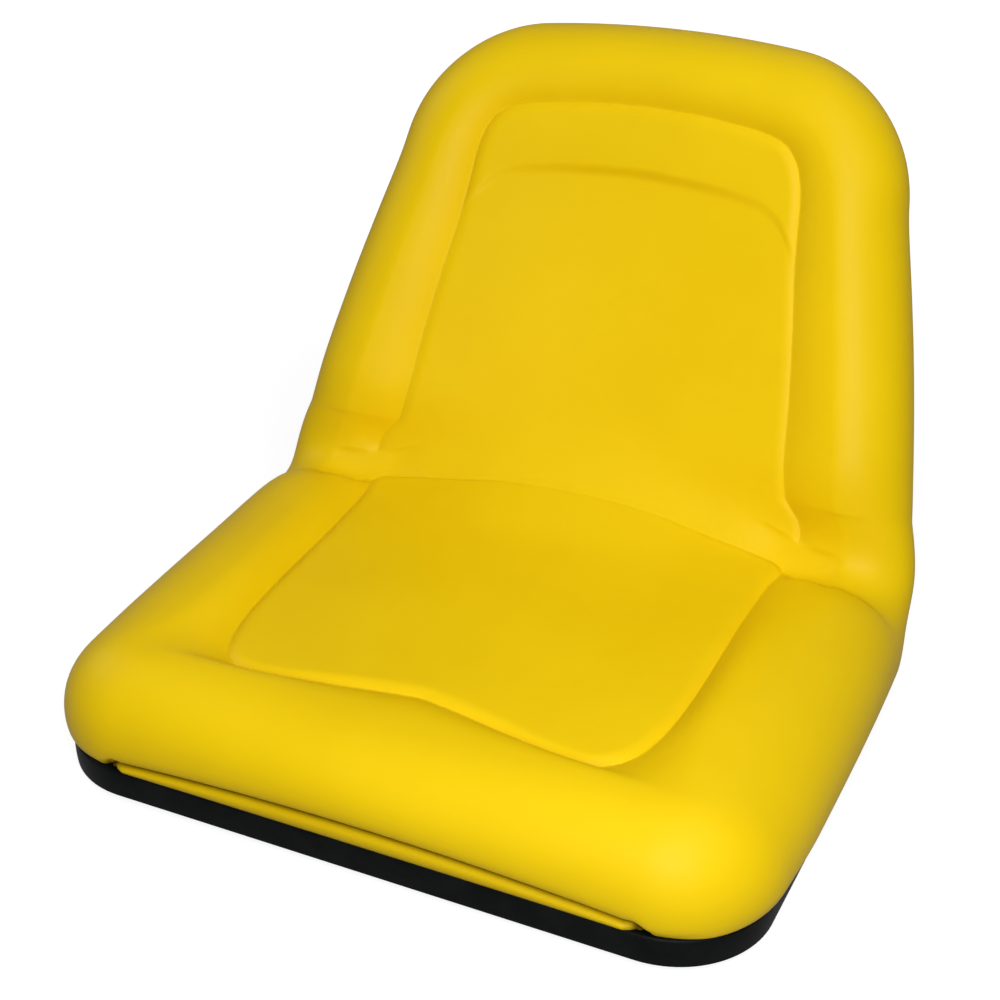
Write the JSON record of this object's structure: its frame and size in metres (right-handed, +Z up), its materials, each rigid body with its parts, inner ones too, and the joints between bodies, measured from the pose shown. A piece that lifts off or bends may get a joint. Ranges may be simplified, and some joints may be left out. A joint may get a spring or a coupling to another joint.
{
  "type": "tractor seat",
  "caption": "High-back bucket seat for a garden tractor: stamped steel pan, one moulded cushion, black edge channel and a four-hole base.",
  "frame": {"origin": "middle of the four mounting holes, on the flat underside of the base", "axes": "+Y toward the back of the seat, +Z up, +X to the sitter's left as the sitter faces -Y"},
  "size_m": [0.488, 0.5321, 0.3865],
  "materials": {
    "pan": "satin black paint",
    "nuts": "zinc plated",
    "trim": "satin black",
    "cushion": "smooth yellow vinyl, satin"
  },
  "bodies": {
    "root": {"seat_pan": "pan", "weld_nuts": "nuts", "edge_trim": "trim", "cushion": "cushion"}
  },
  "joints": []
}
